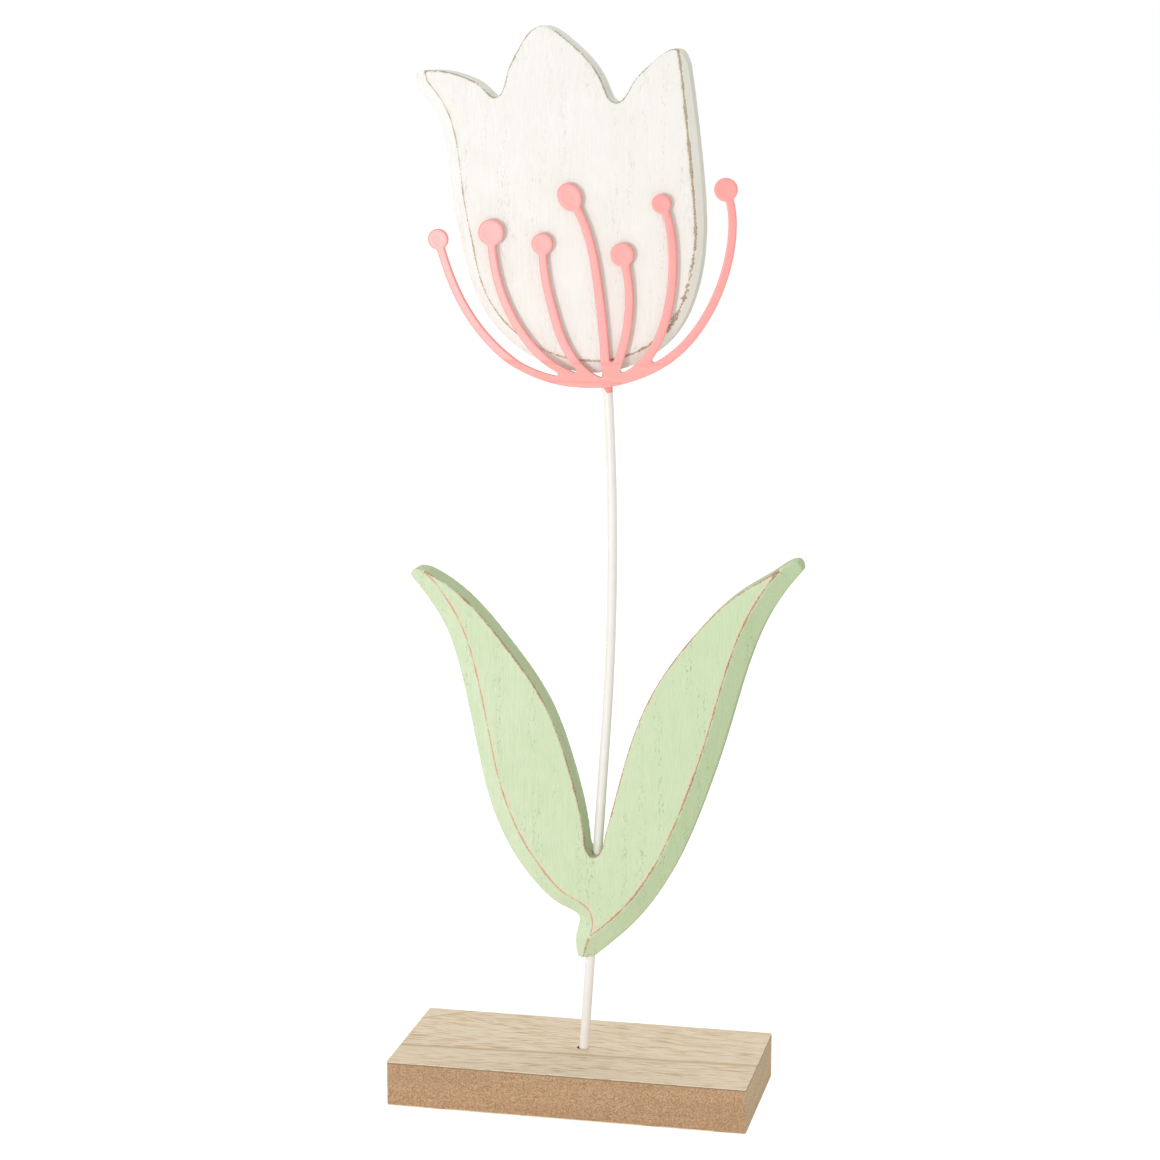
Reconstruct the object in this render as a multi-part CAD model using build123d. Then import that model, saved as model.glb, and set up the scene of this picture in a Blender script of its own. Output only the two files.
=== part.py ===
"""A wooden tulip that stands on a veneered block: wire stem, leaf pair, flower and stamens.

Frame: +Z up, origin at the centre of the block's underside. The flower faces -Y and the block's
width runs along X. Lengths are in millimetres and angles in degrees. An outline point is written
as shares of its plate's width and height, from the left tip and from the bottom edge.
"""
import os
from itertools import pairwise
from math import asin, cos, radians, sin, sqrt, tan

from build123d import *

# Block: an MDF core between two sheets of veneer, its upright corners sanded round
BLOCK_WIDTH = 150.0
BLOCK_DEPTH = 68.0
CORE_THICKNESS = 18.0
VENEER_THICKNESS = 0.4
BLOCK_CORNER_RADIUS = 0.9

# Socket: an upright blind hole in the block, wide enough for the stem to lean in it
SOCKET_OFFSET = 0.5
SOCKET_DEPTH = 15.0
SOCKET_CLEARANCE = 0.1
SOCKET_FOOT_GAP = 0.3

# Stem: a round wire, straight at first and then bent to the left in one long arc
WIRE_DIAMETER = 4.0
STEM_LEAN = 3.8
STEM_STRAIGHT_RISE = 138.0
STEM_BEND_RADIUS = 1100.0

# Leaf pair: one plate, drilled lengthwise for the stem
LEAF_WIDTH = 162.0
LEAF_HEIGHT = 173.0
LEAF_THICKNESS = 12.0
LEAF_RISE = 39.2
LEAF_LEFT_REACH = 74.3
LEAF_BEVEL_WIDTH = 7.4
LEAF_BEVEL_DEPTH = 4.0
LEAF_FOOT_CUT = 1.1
LEAF_BORE_CLEARANCE = 0.3

# Flower: one plate with a blind hole in its bottom edge
FLOWER_WIDTH = 117.0
FLOWER_HEIGHT = 136.0
FLOWER_THICKNESS = 12.0
FLOWER_RISE = 283.5
FLOWER_LEFT_REACH = 77.7
FLOWER_BEVEL_WIDTH = 5.0
FLOWER_BEVEL_DEPTH = 4.5
FLOWER_HOLE_DEPTH = 24.0
FLOWER_HOLE_CLEARANCE = 0.15

# Sanding: the plates' front edges are rubbed down to a narrow slope
WEAR_WIDTH = 0.7
WEAR_DEPTH = 0.2

# Stamens: one sheet, flat on the wire at its root and stepped forward over the flower's face
SHEET_THICKNESS = 1.4
SPRAY_WIDTH = 124.0
SPRAY_HEIGHT = 84.0
SPRAY_DROP = 2.9
ARM_WIDTH = 3.1
ARM_ROOT_WIDTH = 3.7
CROTCH_RADIUS = 0.9
ANTHER_RADIUS = 4.5
FACE_GAP = 1.5
SHEET_BEND_RADIUS = 4.0
STEP_RISE = 7.0
WIRE_SEAT_GAP = 0.05

# Weld: a bead on the front of the wire, under the spray
BEAD_THICKNESS = 0.45
BEAD_TAPER = 0.3
BEAD_LENGTH = 3.2
BEAD_SHIFT = 0.3
BEAD_FIT_GAP = 0.03

# Overrun: how far a cutting shape runs past what it cuts
OVERRUN = 15.0

# Outlines, as (share of width, share of height), and where across its width the stem enters each plate
LEAF_STEM_SHARE = 0.45864
FLOWER_STEM_SHARE = 0.6641
LEAF_LEFT_FLANK_SHARES = [
    (-0.068, 0.994), (0.008, 0.907), (0.085, 0.803), (0.126, 0.690), (0.166, 0.514), (0.209, 0.355),
    (0.261, 0.254), (0.334, 0.168), (0.383, 0.133), (0.415, 0.120), (0.432, 0.107), (0.430, 0.083),
    (0.423, 0.046), (0.427, 0.017), (0.437, -0.017),
]
LEAF_RIGHT_FLANK_SHARES = [
    (0.420, -0.035), (0.480, 0.016), (0.574, 0.098), (0.668, 0.223), (0.745, 0.390), (0.807, 0.567),
    (0.861, 0.744), (0.913, 0.861), (0.983, 0.956), (1.041, 1.014),
]
LEAF_NOTCH_SHARES = [
    (-0.014, 0.905), (-0.004, 0.923), (0.006, 0.935), (0.024, 0.938), (0.057, 0.928), (0.136, 0.879),
    (0.244, 0.769), (0.351, 0.625), (0.406, 0.492), (0.440, 0.372), (0.452, 0.300), (0.459, 0.273),
    (0.474, 0.261), (0.489, 0.272), (0.501, 0.304), (0.516, 0.360), (0.553, 0.494), (0.613, 0.648),
    (0.735, 0.817), (0.839, 0.912), (0.930, 0.968), (0.969, 0.990), (0.982, 0.991), (0.991, 0.982),
    (0.994, 0.966), (0.996, 0.944),
]

FLOWER_FLANK_SHARES = [
    (0.014, 0.925), (0.004, 0.850), (0.016, 0.820), (0.043, 0.791), (0.076, 0.749), (0.112, 0.642),
    (0.134, 0.497), (0.163, 0.363), (0.228, 0.194), (0.346, 0.077), (0.499, 0.014), (0.619, 0.000),
    (0.757, 0.025), (0.901, 0.117), (0.973, 0.249), (0.999, 0.424), (0.990, 0.562), (0.968, 0.733),
    (0.946, 0.870), (0.926, 0.968),
]
PETAL_EDGE_SHARES = [
    (-0.006, 0.815), (0.001, 0.844), (0.008, 0.859), (0.019, 0.868), (0.043, 0.872), (0.106, 0.871),
    (0.170, 0.858), (0.226, 0.837), (0.262, 0.811), (0.284, 0.798), (0.301, 0.801), (0.316, 0.819),
    (0.328, 0.857), (0.346, 0.898), (0.376, 0.944), (0.413, 0.986), (0.452, 1.000), (0.490, 0.990),
    (0.531, 0.965), (0.580, 0.929), (0.624, 0.888), (0.650, 0.853), (0.668, 0.818), (0.684, 0.793),
    (0.706, 0.784), (0.729, 0.796), (0.757, 0.835), (0.797, 0.876), (0.839, 0.907), (0.880, 0.931),
    (0.900, 0.936), (0.918, 0.931), (0.933, 0.912), (0.946, 0.880), (0.962, 0.825),
]

# Bevels: how their width varies along a flank, at even steps, as hand filing left it
LEAF_LEFT_BEVEL_SHARES = [0.45, 0.97, 0.97, 0.94, 0.91, 0.98, 0.97, 0.78, 0.84]
LEAF_RIGHT_BEVEL_SHARES = [1.05, 0.95, 0.89, 0.93, 0.92]
FLOWER_BEVEL_SHARES = [
    1.00, 0.99, 1.00, 0.97, 1.03, 0.88, 0.93, 0.96, 0.98, 0.84, 0.55, 0.51, 0.44, 0.52, 0.53, 0.45, 0.38,
]

# Stamens: the middle line of each arm from its disc towards the point where all arms join, then the
# disc's size and how much longer than wide it is
ARM_SHARES = [
    ([(-0.540, 0.660), (-0.527, 0.595), (-0.484, 0.425), (-0.401, 0.230), (-0.309, 0.100),
      (-0.207, 0.016), (-0.100, -0.013)], 0.91, 1.0),
    ([(-0.365, 0.695), (-0.361, 0.595), (-0.343, 0.463), (-0.309, 0.332), (-0.254, 0.201),
      (-0.163, 0.071), (-0.078, 0.006)], 1.16, 1.0),
    ([(-0.198, 0.646), (-0.196, 0.585), (-0.186, 0.468), (-0.164, 0.337), (-0.135, 0.205),
      (-0.081, 0.074), (-0.030, 0.005)], 0.96, 1.0),
    ([(-0.108, 0.866), (-0.069, 0.765), (-0.039, 0.636), (-0.018, 0.470), (-0.004, 0.309),
      (0.007, 0.111)], 1.04, 1.22),
    ([(0.062, 0.602), (0.074, 0.541), (0.085, 0.395), (0.077, 0.246), (0.053, 0.113)], 1.04, 1.0),
    ([(0.187, 0.841), (0.207, 0.771), (0.224, 0.610), (0.218, 0.414), (0.182, 0.217), (0.134, 0.102),
      (0.064, 0.023)], 0.85, 1.0),
    ([(0.392, 0.910), (0.407, 0.845), (0.413, 0.700), (0.390, 0.517), (0.332, 0.320), (0.234, 0.143),
      (0.102, 0.031)], 1.02, 1.0),
]
JOIN_SHARES = (0.010, -0.008)

# Places that follow from the sizes
BLOCK_HEIGHT = CORE_THICKNESS + 2 * VENEER_THICKNESS
LEAN = radians(STEM_LEAN)
WIRE_RADIUS = WIRE_DIAMETER / 2
PIVOT_Z = BLOCK_HEIGHT - SOCKET_DEPTH / 2
SOCKET_RADIUS = WIRE_RADIUS / cos(LEAN) + SOCKET_DEPTH / 2 * tan(LEAN) + SOCKET_CLEARANCE
FOOT_Z = BLOCK_HEIGHT - SOCKET_DEPTH + SOCKET_FOOT_GAP + WIRE_RADIUS * sin(LEAN)
LEAF_BASE_Z = BLOCK_HEIGHT + LEAF_RISE
FLOWER_BASE_Z = BLOCK_HEIGHT + FLOWER_RISE
BEND_START_Z = BLOCK_HEIGHT + STEM_STRAIGHT_RISE
ROOT_Z = FLOWER_BASE_Z - SPRAY_DROP
PLATE_FRONT_Y = -FLOWER_THICKNESS / 2


def stem_x_straight(height):
    """Where the straight run's middle line lies at a height."""
    return SOCKET_OFFSET + (height - PIVOT_Z) * tan(LEAN)


BEND_CENTRE_X = stem_x_straight(BEND_START_Z) - STEM_BEND_RADIUS * cos(LEAN)
BEND_CENTRE_Z = BEND_START_Z + STEM_BEND_RADIUS * sin(LEAN)


def stem_point(height):
    """The stem's middle line at a height, on the straight run or on the arc."""
    if height <= BEND_START_Z:
        return Vector(stem_x_straight(height), 0, height)
    across = sqrt(STEM_BEND_RADIUS**2 - (height - BEND_CENTRE_Z) ** 2)
    return Vector(BEND_CENTRE_X + across, 0, height)


def rod(start, end, radius, end_radius=None):
    """A round bar between two points, tapered when a second radius is given."""
    along = Vector(end) - Vector(start)
    plane = Plane(origin=start, z_dir=along)
    if end_radius is None:
        return extrude(plane * Circle(radius), along.length)
    far = Plane(origin=end, z_dir=along, x_dir=plane.x_dir)
    return loft([plane * Circle(radius), far * Circle(end_radius)])


def placed(shares, width, height):
    """The points of an outline, from its shares."""
    return [Vector(x * width, z * height) for x, z in shares]


def outline(shares, stem_share, reach, width, height):
    """A plate's outline points. The left part spans the left reach and the right part what is left
    of the width, so the stem keeps its place in the plate."""
    points = []
    for x, z in shares:
        across = x / stem_share * reach
        if x > stem_share:
            across = reach + (x - stem_share) / (1 - stem_share) * (width - reach)
        points.append(Vector(across, z * height))
    return points


def leaf_outline(shares):
    return outline(shares, LEAF_STEM_SHARE, LEAF_LEFT_REACH, LEAF_WIDTH, LEAF_HEIGHT)


def flower_outline(shares):
    return outline(shares, FLOWER_STEM_SHARE, FLOWER_LEFT_REACH, FLOWER_WIDTH, FLOWER_HEIGHT)


def scaled(shares, size):
    """Lengths from their shares of a size."""
    return [share * size for share in shares]


def stations(points, steps=4):
    """Positions along a curve, as shares of its length, that lie closest where its points do."""
    chords = [(b - a).length for a, b in pairwise(points)]
    reached = 0
    found = [0.0]
    for chord in chords:
        found += [(reached + chord * k / steps) / sum(chords) for k in range(1, steps + 1)]
        reached += chord
    return found


def inset(curve, points, widths):
    """The curve moved to its left, by widths given at even steps along it."""
    moved = []
    params = []
    for u in stations(points):
        span = u * (len(widths) - 1)
        k = min(int(span), len(widths) - 2)
        width = widths[k] + (widths[k + 1] - widths[k]) * (span - k)
        along = curve % u
        moved.append(curve @ u + Vector(-along.Y, along.X) * width)
        params.append(curve.param_at(u))
    return Edge.make_spline(moved, parameters=params)


def slab(points, corners, levels):
    """A slab with one curved edge and straight sides through the corners. The curve runs with the
    wood on its left. Each level gives the widths that the edge is set back by at a depth."""
    curve = Edge.make_spline(points)
    rings = []
    for widths, depth in levels:
        edge = inset(curve, points, widths) if widths else curve
        turns = [edge @ 1, *corners, edge @ 0]
        sides = [Edge.make_line(a, b) for a, b in pairwise(turns)]
        rings.append(Wire([edge, *sides]).moved(Location((0, 0, -depth))))
    return Solid.make_loft(rings, ruled=True)


def bevelled_slab(points, corners, widths, depth, thickness):
    """A slab whose curved edge is bevelled at the front and rubbed down along the bevel's rim."""
    rim = [width + WEAR_WIDTH for width in widths]
    return slab(points, corners, [(rim, 0), (widths, WEAR_DEPTH), (None, depth), (None, thickness)])


def square_slab(points, corners, thickness):
    """A slab whose curved edge is cut square and rubbed down at the front."""
    rim = [WEAR_WIDTH / 2, WEAR_WIDTH / 2]
    return slab(points, corners, [(rim, 0), (None, WEAR_DEPTH), (None, thickness)])


def upright(plate, reach, base_z, thickness):
    """Stands a plate in the part's frame, its bottom edge at base_z, its left tip at a reach from
    the stem and its thickness centred on the stem."""
    x = stem_point(base_z).X - reach
    return Pos(x, -thickness / 2, base_z) * Plane.XZ.location * plate


# Block
def block_layer(thickness, bottom):
    layer = Box(BLOCK_WIDTH, BLOCK_DEPTH, thickness, align=(Align.CENTER, Align.CENTER, Align.MIN))
    layer = fillet(layer.edges().filter_by(Axis.Z), BLOCK_CORNER_RADIUS)
    return Pos(0, 0, bottom) * layer


socket = rod((SOCKET_OFFSET, 0, BLOCK_HEIGHT - SOCKET_DEPTH),
             (SOCKET_OFFSET, 0, BLOCK_HEIGHT + OVERRUN), SOCKET_RADIUS)
base_bottom_veneer = block_layer(VENEER_THICKNESS, 0)
base_core = block_layer(CORE_THICKNESS, VENEER_THICKNESS) - socket
base_top_veneer = block_layer(VENEER_THICKNESS, VENEER_THICKNESS + CORE_THICKNESS) - socket

# Stem
foot = stem_point(FOOT_Z)
bend_start = stem_point(BEND_START_Z)
entry = stem_point(FLOWER_BASE_Z)
bend_middle = stem_point((BEND_START_Z + FLOWER_BASE_Z) / 2)
end_angle = asin((FLOWER_BASE_Z - BEND_CENTRE_Z) / STEM_BEND_RADIUS)
end_direction = Vector(-sin(end_angle), 0, cos(end_angle))
wire_end = entry + end_direction * (FLOWER_HOLE_DEPTH - FLOWER_HOLE_CLEARANCE)
stem_line = Wire([
    Edge.make_line(foot, bend_start),
    Edge.make_three_point_arc(bend_start, bend_middle, entry),
    Edge.make_line(entry, wire_end),
])
stem_wire = sweep(Plane(origin=foot, z_dir=bend_start - foot) * Circle(WIRE_RADIUS), path=stem_line)

# Leaf pair
leaf_left = bevelled_slab(
    leaf_outline(LEAF_LEFT_FLANK_SHARES),
    [Vector(LEAF_WIDTH + OVERRUN, -OVERRUN), Vector(LEAF_WIDTH + OVERRUN, LEAF_HEIGHT + OVERRUN)],
    scaled(LEAF_LEFT_BEVEL_SHARES, LEAF_BEVEL_WIDTH), LEAF_BEVEL_DEPTH, LEAF_THICKNESS,
)
leaf_right = bevelled_slab(
    leaf_outline(LEAF_RIGHT_FLANK_SHARES),
    [Vector(-OVERRUN, LEAF_HEIGHT + OVERRUN), Vector(-OVERRUN, -OVERRUN)],
    scaled(LEAF_RIGHT_BEVEL_SHARES, LEAF_BEVEL_WIDTH), LEAF_BEVEL_DEPTH, LEAF_THICKNESS,
)
leaf_notch = square_slab(
    leaf_outline(reversed(LEAF_NOTCH_SHARES)),
    [Vector(-OVERRUN, LEAF_HEIGHT - 2 * OVERRUN), Vector(-OVERRUN, LEAF_FOOT_CUT),
     Vector(LEAF_WIDTH + OVERRUN, LEAF_FOOT_CUT), Vector(LEAF_WIDTH + OVERRUN, LEAF_HEIGHT - OVERRUN)],
    LEAF_THICKNESS,
)
leaf_bore = rod(stem_point(BLOCK_HEIGHT), bend_start, WIRE_RADIUS + LEAF_BORE_CLEARANCE)
leaf_plate = leaf_left & leaf_right & leaf_notch
leaf_pair = upright(leaf_plate, LEAF_LEFT_REACH, LEAF_BASE_Z, LEAF_THICKNESS) - leaf_bore

# Flower
flank = flower_outline(FLOWER_FLANK_SHARES)
flower_body = bevelled_slab(
    flank,
    [Vector(flank[-1].X, FLOWER_HEIGHT + OVERRUN), Vector(flank[0].X, FLOWER_HEIGHT + OVERRUN)],
    scaled(FLOWER_BEVEL_SHARES, FLOWER_BEVEL_WIDTH), FLOWER_BEVEL_DEPTH, FLOWER_THICKNESS,
)
petal_edge = square_slab(
    flower_outline(reversed(PETAL_EDGE_SHARES)),
    [Vector(-OVERRUN, FLOWER_HEIGHT - 3 * OVERRUN), Vector(-OVERRUN, -OVERRUN),
     Vector(FLOWER_WIDTH + OVERRUN, -OVERRUN), Vector(FLOWER_WIDTH + OVERRUN, FLOWER_HEIGHT - 2 * OVERRUN)],
    FLOWER_THICKNESS,
)
hole_start = entry - end_direction * OVERRUN
hole_end = entry + end_direction * FLOWER_HOLE_DEPTH
flower_hole = rod(hole_start, hole_end, WIRE_RADIUS + FLOWER_HOLE_CLEARANCE)
flower_plate = flower_body & petal_edge
flower_head = upright(flower_plate, FLOWER_LEFT_REACH, FLOWER_BASE_Z, FLOWER_THICKNESS) - flower_hole

# Stamens
def arm(points):
    """An arm's outline: its middle line, widened evenly from the disc to the root."""
    curve = Edge.make_spline(points)
    left = inset(curve, points, [ARM_WIDTH / 2, ARM_ROOT_WIDTH / 2])
    right = inset(curve, points, [-ARM_WIDTH / 2, -ARM_ROOT_WIDTH / 2])
    ends = [Edge.make_line(left @ 1, right @ 1), Edge.make_line(right @ 0, left @ 0)]
    return Face(Wire([left, ends[0], right, ends[1]]))


join = placed([JOIN_SHARES], SPRAY_WIDTH, SPRAY_HEIGHT)[0]
spray = Pos(join.X, join.Y) * Circle(ARM_ROOT_WIDTH / 2)
for arm_shares, size_share, stretch_share in ARM_SHARES:
    line = placed([*arm_shares, JOIN_SHARES], SPRAY_WIDTH, SPRAY_HEIGHT)
    spray += arm(line)
    lean_in = Vector(0, 1).get_signed_angle(line[0] - line[1], Vector(0, 0, 1))
    radius = ANTHER_RADIUS * size_share
    disc = Ellipse(radius, radius * stretch_share)
    spray += Pos(line[0].X, line[0].Y) * Rot(0, 0, lean_in) * disc
spray_slab = extrude(spray, OVERRUN, both=True)
spray_slab = fillet(spray_slab.edges().filter_by(Axis.Z), CROTCH_RADIUS)

root_y = -WIRE_RADIUS - WIRE_SEAT_GAP - SHEET_THICKNESS / 2
arms_y = PLATE_FRONT_Y - FACE_GAP - SHEET_THICKNESS / 2
sheet_line = FilletPolyline(
    (root_y, ROOT_Z - OVERRUN), (root_y, ROOT_Z), (arms_y, ROOT_Z + STEP_RISE),
    (arms_y, ROOT_Z + SPRAY_HEIGHT + OVERRUN), radius=SHEET_BEND_RADIUS,
)
bent_sheet = extrude(Plane.YZ * trace(sheet_line, SHEET_THICKNESS), SPRAY_WIDTH, both=True)
root = stem_point(ROOT_Z)
stamen_spray = Pos(root.X, 0, root.Z) * Plane.XZ.location * spray_slab & bent_sheet

# Weld
bead_top = stem_point(ROOT_Z - ARM_ROOT_WIDTH / 2)
bead_foot = stem_point(ROOT_Z - ARM_ROOT_WIDTH / 2 - BEAD_LENGTH)
shift = Vector(-BEAD_SHIFT, -BEAD_SHIFT, 0)
bead = rod(bead_foot + shift, bead_top + shift, WIRE_RADIUS + BEAD_THICKNESS - BEAD_TAPER,
           WIRE_RADIUS + BEAD_THICKNESS)
past = (bead_top - bead_foot).normalized() * OVERRUN
wire_room = rod(bead_foot - past, bead_top + past, WIRE_RADIUS + BEAD_FIT_GAP)
weld_bead = bead - wire_room - stamen_spray

nodes = {
    "base_core": base_core,
    "base_top_veneer": base_top_veneer,
    "base_bottom_veneer": base_bottom_veneer,
    "stem_wire": stem_wire,
    "leaf_pair": leaf_pair,
    "flower_head": flower_head,
    "stamen_spray": stamen_spray,
    "weld_bead": weld_bead,
}
os.makedirs("parts", exist_ok=True)
for name, shape in nodes.items():
    export_step(shape, f"parts/{name}.step")
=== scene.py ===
"""Dresses the wooden tulip: painted boards rubbed through at their edges, pink sheet stamens, a
lacquered wire and a veneered fibreboard block, on a pale floor in soft light.

Lengths are in metres in the part's own frame. The flower faces -Y and the wood grain of its two
boards runs upright, along Z. The block's veneer has its grain along X.
"""
from math import cos, radians, sin

import bmesh
import bpy
from bpy.props import FloatProperty, FloatVectorProperty, IntProperty, PointerProperty
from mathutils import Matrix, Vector


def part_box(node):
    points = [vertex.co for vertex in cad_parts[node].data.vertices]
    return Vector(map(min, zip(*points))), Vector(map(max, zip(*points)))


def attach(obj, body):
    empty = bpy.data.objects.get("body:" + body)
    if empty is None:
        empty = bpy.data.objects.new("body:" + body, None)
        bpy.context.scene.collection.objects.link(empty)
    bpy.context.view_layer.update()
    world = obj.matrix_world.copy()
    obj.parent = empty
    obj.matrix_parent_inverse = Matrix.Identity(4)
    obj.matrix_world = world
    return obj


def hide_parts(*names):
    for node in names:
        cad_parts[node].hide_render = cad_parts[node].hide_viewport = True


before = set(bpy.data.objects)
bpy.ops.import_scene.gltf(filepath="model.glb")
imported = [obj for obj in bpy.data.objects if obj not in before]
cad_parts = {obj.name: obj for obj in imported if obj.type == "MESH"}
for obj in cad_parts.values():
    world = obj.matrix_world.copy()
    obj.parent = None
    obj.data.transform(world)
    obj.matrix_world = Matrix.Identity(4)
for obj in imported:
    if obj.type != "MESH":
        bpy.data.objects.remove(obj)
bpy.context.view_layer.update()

bl_info = {
    "name": "Wooden Tulip",
    "version": (1, 0, 0),
    "blender": (4, 5, 0),
    "location": "3D View > Sidebar > Tulip",
    "description": "Makes a painted wooden tulip that stands on a veneered block",
    "category": "Add Mesh",
}

MM = 0.001

# Points closer than this are one point
SAME_POINT = MM / 1000

# Block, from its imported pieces
CORE_TOP_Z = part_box("base_core")[1].z
BLOCK_TOP_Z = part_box("base_top_veneer")[1].z
BLOCK_CORNER = 0.9 * MM
SANDED_EDGE = 0.12 * MM
SOCKET_X = 0.5 * MM
SOCKET_RADIUS = 2.6 * MM
SOCKET_SIDES = 64
SOCKET_MIDDLE_Z = BLOCK_TOP_Z - 7.5 * MM

# Wire: a straight run that leans, then one long arc
WIRE_LEAN = radians(3.8)
WIRE_FOOT_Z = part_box("stem_wire")[0].z + 0.13 * MM
WIRE_TOP_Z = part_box("stem_wire")[1].z - 0.1 * MM
WIRE_BEND_Z = 156.8 * MM
WIRE_BEND_RADIUS = 1.1
WIRE_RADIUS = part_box("stem_wire")[1].y
WIRE_RINGS = 260
WIRE_SIDES = 44
PINK_FROM_Z = 294.7 * MM

# Boards: how far back their front edges are rubbed, and how far in at a bevel and a square edge
WEAR_DROP = 0.2 * MM
FLANK_WEAR = 0.7 * MM
SQUARE_WEAR = 0.35 * MM
# The ridge between the two bevels of the leaves' foot. The flower has none, so its own is far off
LEAF_RIDGE = ((1.15 * MM, -3.33 * MM, 59.1 * MM), (4.06 * MM, -5.8 * MM, 68.2 * MM))
NO_RIDGE = ((0, 0, -1.0), (0, 0, -1.1))
# The share of a sharp edge that comes back after its mesh was evened and smoothed
CRISP_SHARE = 0.8

# Spray: where its discs begin, how wide their rims are and where its weld shows on the front
SPRAY_LOW, SPRAY_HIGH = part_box("stamen_spray")
SHEET_THICKNESS = 1.4 * MM
DISC_START_Z = SPRAY_LOW.z + 32 * MM
DISC_RIM = 1.6 * MM
WELD_SPOT = (11.7 * MM, SPRAY_HIGH.y - SHEET_THICKNESS, 299.0 * MM)
WELD_RADIUS = 1.4 * MM
WELD_HEIGHT = 0.35 * MM

# Paint and lacquer bend light alike
PAINT_IOR = 1.5

# Stage: the floor, the surroundings, the lamps and the photograph's camera
FLOOR_HALF = 2.5
FLOOR_GLOW = 0.86
WORLD_LIGHT = 0.72
LAMP_TARGET = Vector((0, 0, 0.22))
# Each lamp's azimuth and elevation in degrees, distance, size and power in watts
LAMPS = (("key_light", -21, -1.5, 1.6, 0.28, 7.6), ("top_light", 165, 65, 2.0, 1.4, 9.0))
PHOTO_PIXELS = 1160
FOCAL_PIXELS = 2923.94
SENSOR_MM = 36.0
CAMERA_PLACE = (0.24935, -1.13485, 0.44422)
CAMERA_TARGET = Vector((-0.000774, 0, 0.21766))


def linear(hex_colour):
    """A colour written as sRGB hex, in linear light."""
    shares = [int(hex_colour[k:k + 2], 16) / 255 for k in (1, 3, 5)]
    return (*(s / 12.92 if s <= 0.04045 else ((s + 0.055) / 1.055) ** 2.4 for s in shares), 1.0)


def length(name, description, default, top):
    """A length that a user may change."""
    return FloatProperty(name=name, description=description, default=default, min=0.0, max=top,
                         precision=5, unit="LENGTH", subtype="DISTANCE")


def colour(name, description, default):
    """A colour that a user may change."""
    return FloatVectorProperty(name=name, description=description, default=linear(default),
                               size=4, min=0.0, max=1.0, subtype="COLOR")


class TulipSizes(bpy.types.PropertyGroup):
    """Sizes of the surface detail."""
    board_grid: length("Board grid", "Spacing of the boards' mesh", 0.56 * MM, 3 * MM)
    sheet_grid: length("Sheet grid", "Spacing of the stamens' mesh", 0.27 * MM, 2 * MM)
    bead_grid: length("Bead grid", "Spacing of the weld bead's mesh", 0.13 * MM, 1 * MM)
    grain_depth: length("Grain depth", "How deep the wood grain shows through the paint", 0.03 * MM, 1 * MM)
    grain_width: length("Grain width", "Spacing of the boards' grain", 1.3 * MM, 10 * MM)
    chip_depth: length("Chip depth", "How unevenly the boards' edges are rubbed", 0.16 * MM, 1 * MM)
    dish_depth: length("Dish depth", "How far the stamens' discs are pressed in", 0.02 * MM, 1 * MM)
    splinter_depth: length("Splinter depth", "How far the veneer's edge is chipped", 0.38 * MM, 2 * MM)
    lacquer_wave: length("Lacquer wave", "How uneven the wire's lacquer is", 0.03 * MM, 0.2 * MM)
    seed: IntProperty(name="Seed", description="Changes the chance detail", default=4, min=0, max=999)


class TulipColours(bpy.types.PropertyGroup):
    """Colours of the finishes."""
    white_paint: colour("White paint", "Matt paint on the flower", "#FAF8F3")
    green_paint: colour("Green paint", "Matt paint on the leaves", "#DAE8C7")
    pink_paint: colour("Pink paint", "Satin paint on the stamens", "#FF9E99")
    cream_lacquer: colour("Cream lacquer", "Lacquer on the wire", "#F5F1EC")
    bare_wood: colour("Bare wood", "Wood where the paint is rubbed off", "#D0AC84")
    fibreboard: colour("Fibreboard", "The block's sawn long sides", "#BF9C7A")
    veneer: colour("Veneer", "The sheets on the block's two faces", "#E8D7BC")
    floor: colour("Floor", "The floor that the ornament stands on", "#F4F3F0")


def feed(tree, node, sockets):
    """Gives a node's inputs, by name or number, a value, a link or a list of links each."""
    for key, value in sockets.items():
        if isinstance(value, (bpy.types.NodeSocket, list)):
            for source in value if isinstance(value, list) else [value]:
                tree.links.new(source, node.inputs[key])
        else:
            node.inputs[key].default_value = value


def add(tree, kind, sockets=None, out=0, **settings):
    """Adds a node with its settings and inputs, and gives one output of it, or all for None."""
    node = tree.nodes.new(kind)
    for name, value in settings.items():
        setattr(node, name, value)
    feed(tree, node, sockets or {})
    return node.outputs if out is None else node.outputs[out]


def grain(tree, place, size, seed, detail, stretch=None, roughness=0.5, limits=None):
    """A chance pattern with patches of about the size, drawn out along the axes whose stretch is
    small. Between its limits it is spread from 0 to 1."""
    if stretch:
        place = add(tree, "ShaderNodeVectorMath", {0: place, 1: stretch}, operation="MULTIPLY")
    noise = add(tree, "ShaderNodeTexNoise", {"Vector": place, "W": seed, "Scale": 1 / size, "Detail": detail,
                "Roughness": roughness}, noise_dimensions="4D")
    if limits:
        noise = add(tree, "ShaderNodeMapRange", {0: noise, 1: limits[0], 2: limits[1]})
    return noise


def seen_directly(tree):
    """1 for the rays by which the camera sees a surface, straight or by a mirror or glass, else 0."""
    rays = add(tree, "ShaderNodeLightPath", out=None)
    seen = rays["Is Camera Ray"]
    for kind in ("Is Glossy Ray", "Is Transmission Ray"):
        seen = add(tree, "ShaderNodeMath", {0: seen, 1: rays[kind]}, operation="MAXIMUM")
    return seen


# Finishes
def new_finish(name):
    """An empty material with its Principled shader: (material, tree, shader, place on the piece)."""
    material = bpy.data.materials.new(name)
    material.use_nodes = True
    tree = material.node_tree
    place = add(tree, "ShaderNodeTexCoord", out="Object")
    return material, tree, tree.nodes["Principled BSDF"], place


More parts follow.
